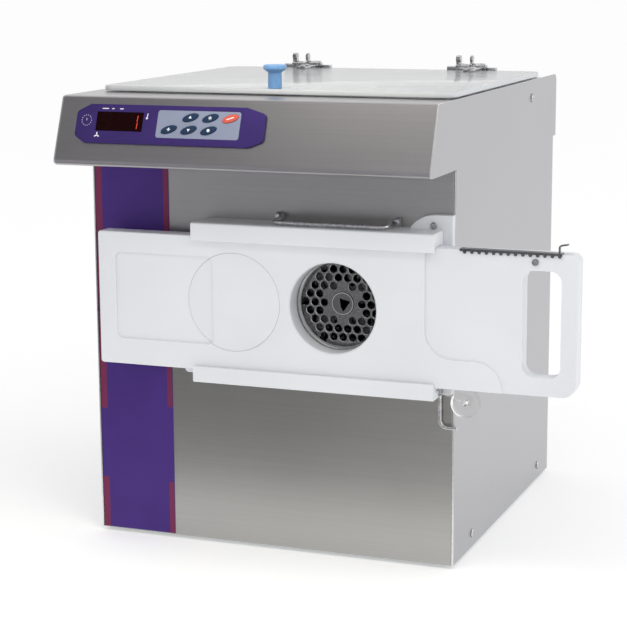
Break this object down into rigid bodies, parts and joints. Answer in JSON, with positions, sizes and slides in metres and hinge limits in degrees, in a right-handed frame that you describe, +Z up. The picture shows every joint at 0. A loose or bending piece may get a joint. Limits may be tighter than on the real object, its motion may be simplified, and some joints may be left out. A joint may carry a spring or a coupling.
{
  "type": "refrigerated meat grinder",
  "caption": "Counter-top refrigerated meat grinder with a clear rear-hinged lid, control panel on a sloped fascia and a hand-slid portioning drawer at the outlet.",
  "frame": {"origin": "on the standing surface under the middle of the whole object's box", "axes": "+X towards the drawer's handle end, +Y from the drawer into the machine, +Z up"},
  "size_m": [0.533, 0.4906, 0.5095],
  "materials": {
    "cabinet_steel": "brushed stainless sheet, satin",
    "front_steel": "brushed stainless sheet, mirrors the dark room",
    "galvanised": "galvanised sheet, matt",
    "purple_film": "purple film with wine-red edge stripes",
    "bright_steel": "polished stainless",
    "cast_steel": "tinned casting",
    "rubber": "black rubber, matt",
    "clear_lid": "clear acrylic with polished edges",
    "blue_knob": "blue moulded plastic",
    "bezel_purple": "purple printed panel",
    "display_dark": "dark red display window",
    "keypad_grey": "blue-grey printed plate",
    "key_blue": "dark blue keys",
    "key_red": "red-orange key",
    "white_pe": "white polyethylene, machined",
    "roller_clear": "milky clear plastic",
    "board_green": "green circuit board",
    "compressor_black": "black enamel",
    "motor_grey": "grey enamel",
    "aluminium": "cast and finned aluminium",
    "copper": "copper tube",
    "fan_plastic": "black moulded plastic",
    "steel_dark": "machined steel, oiled",
    "gland_black": "black polyamide"
  },
  "bodies": {
    "root": {"left_side_panel": "cabinet_steel", "right_side_panel": "cabinet_steel", "front_panel": "front_steel", "rear_panel": "cabinet_steel", "base_pan": "galvanised", "head_cover": "cabinet_steel", "decor_band": "purple_film", "panel_screws": "bright_steel", "rubber_feet": "rubber", "meat_tray": "bright_steel", "feed_throat": "bright_steel", "hinge_brackets": "bright_steel", "hinge_studs": "bright_steel", "wing_nuts": "bright_steel", "control_bezel": "bezel_purple", "display_window": "display_dark", "keypad_plate": "keypad_grey", "control_board": "board_green", "back_board": "white_pe", "ear_screw": "bright_steel", "guide_block": "white_pe", "wear_strip": "white_pe", "handle_lugs": "bright_steel", "roller_arm": "bright_steel", "ring_nut": "bright_steel", "perforated_plate": "steel_dark", "grinder_barrel": "cast_steel", "gearbox_housing": "aluminium", "gearbox_cover": "aluminium", "motor": "motor_grey", "motor_stand": "galvanised", "compressor": "compressor_black", "condenser": "aluminium", "fan_shroud": "galvanised", "fan_motor": "fan_plastic", "evaporator_coil": "copper", "refrigerant_pipes": "copper", "cable_gland": "gland_black"},
    "lid": {"lid": "clear_lid", "lid_knob": "blue_knob", "hinge_straps": "bright_steel", "strap_screws": "bright_steel"},
    "drawer": {"drawer": "white_pe", "drawer_screw": "bright_steel"},
    "mould_disc": {"mould_disc": "white_pe"},
    "adjusting_rack": {"adjusting_rack": "bright_steel"},
    "carry_handle": {"carry_handle": "bright_steel"},
    "lock_wire": {"lock_wire": "bright_steel"},
    "support_roller": {"support_roller": "roller_clear"},
    "worm": {"worm": "cast_steel", "knife": "steel_dark", "output_gear": "steel_dark"},
    "motor_shaft": {"motor_shaft": "steel_dark"},
    "fan_rotor": {"fan_rotor": "fan_plastic"},
    "key_upper_left": {"key_upper_left": "key_blue"},
    "key_upper_middle": {"key_upper_middle": "key_blue"},
    "key_upper_right": {"key_upper_right": "key_red"},
    "key_lower_left": {"key_lower_left": "key_blue"},
    "key_lower_middle": {"key_lower_middle": "key_blue"},
    "key_lower_right": {"key_lower_right": "key_blue"}
  },
  "joints": [
    {"name": "lid_hinge", "type": "hinge", "parent": "root", "child": "lid", "pos_m": [-0.0845, 0.19534, 0.486], "axis": [-1, 0, 0], "range_deg": [0, 105]},
    {"name": "drawer_slide", "type": "slide", "parent": "root", "child": "drawer", "axis": [1, 0, 0], "range_m": [0, 0.1075]},
    {"name": "mould_disc_slide", "type": "slide", "parent": "drawer", "child": "mould_disc", "axis": [0, 1, 0], "range_m": [0, 0.007]},
    {"name": "rack_slide", "type": "slide", "parent": "drawer", "child": "adjusting_rack", "axis": [1, 0, 0], "range_m": [-0.0205, 0.0072]},
    {"name": "carry_handle_hinge", "type": "hinge", "parent": "root", "child": "carry_handle", "pos_m": [0.013, -0.16566, 0.3575], "axis": [-1, 0, 0], "range_deg": [0, 90]},
    {"name": "lock_wire_turn", "type": "hinge", "parent": "root", "child": "lock_wire", "pos_m": [0.1215, -0.16566, 0.174], "axis": [0, 0, -1], "range_deg": [0, 90]},
    {"name": "support_roller_spin", "type": "hinge", "parent": "root", "child": "support_roller", "pos_m": [0.1545, -0.18616, 0.1826], "axis": [0, 1, 0], "continuous": true},
    {"name": "worm_spin", "type": "hinge", "parent": "root", "child": "worm", "pos_m": [0.018, -0.08066, 0.2705], "axis": [0, 1, 0], "continuous": true},
    {"name": "motor_shaft_spin", "type": "hinge", "parent": "root", "child": "motor_shaft", "pos_m": [0.018, 0.11934, 0.1925], "axis": [0, 1, 0], "continuous": true},
    {"name": "fan_spin", "type": "hinge", "parent": "root", "child": "fan_rotor", "pos_m": [-0.1645, 0.17234, 0.119], "axis": [0, 1, 0], "continuous": true},
    {"name": "key_upper_left_press", "type": "slide", "parent": "root", "child": "key_upper_left", "axis": [0, 0.9312, -0.3644], "range_m": [0, 0.0006], "stiffness_N_per_m": 400},
    {"name": "key_upper_middle_press", "type": "slide", "parent": "root", "child": "key_upper_middle", "axis": [0, 0.9312, -0.3644], "range_m": [0, 0.0006], "stiffness_N_per_m": 400},
    {"name": "key_upper_right_press", "type": "slide", "parent": "root", "child": "key_upper_right", "axis": [0, 0.9312, -0.3644], "range_m": [0, 0.0006], "stiffness_N_per_m": 400},
    {"name": "key_lower_left_press", "type": "slide", "parent": "root", "child": "key_lower_left", "axis": [0, 0.9312, -0.3644], "range_m": [0, 0.0006], "stiffness_N_per_m": 400},
    {"name": "key_lower_middle_press", "type": "slide", "parent": "root", "child": "key_lower_middle", "axis": [0, 0.9312, -0.3644], "range_m": [0, 0.0006], "stiffness_N_per_m": 400},
    {"name": "key_lower_right_press", "type": "slide", "parent": "root", "child": "key_lower_right", "axis": [0, 0.9312, -0.3644], "range_m": [0, 0.0006], "stiffness_N_per_m": 400}
  ],
  "couplings": [
    {"joint": "motor_shaft_spin", "follows": "worm_spin", "ratio": -3.3333}
  ]
}
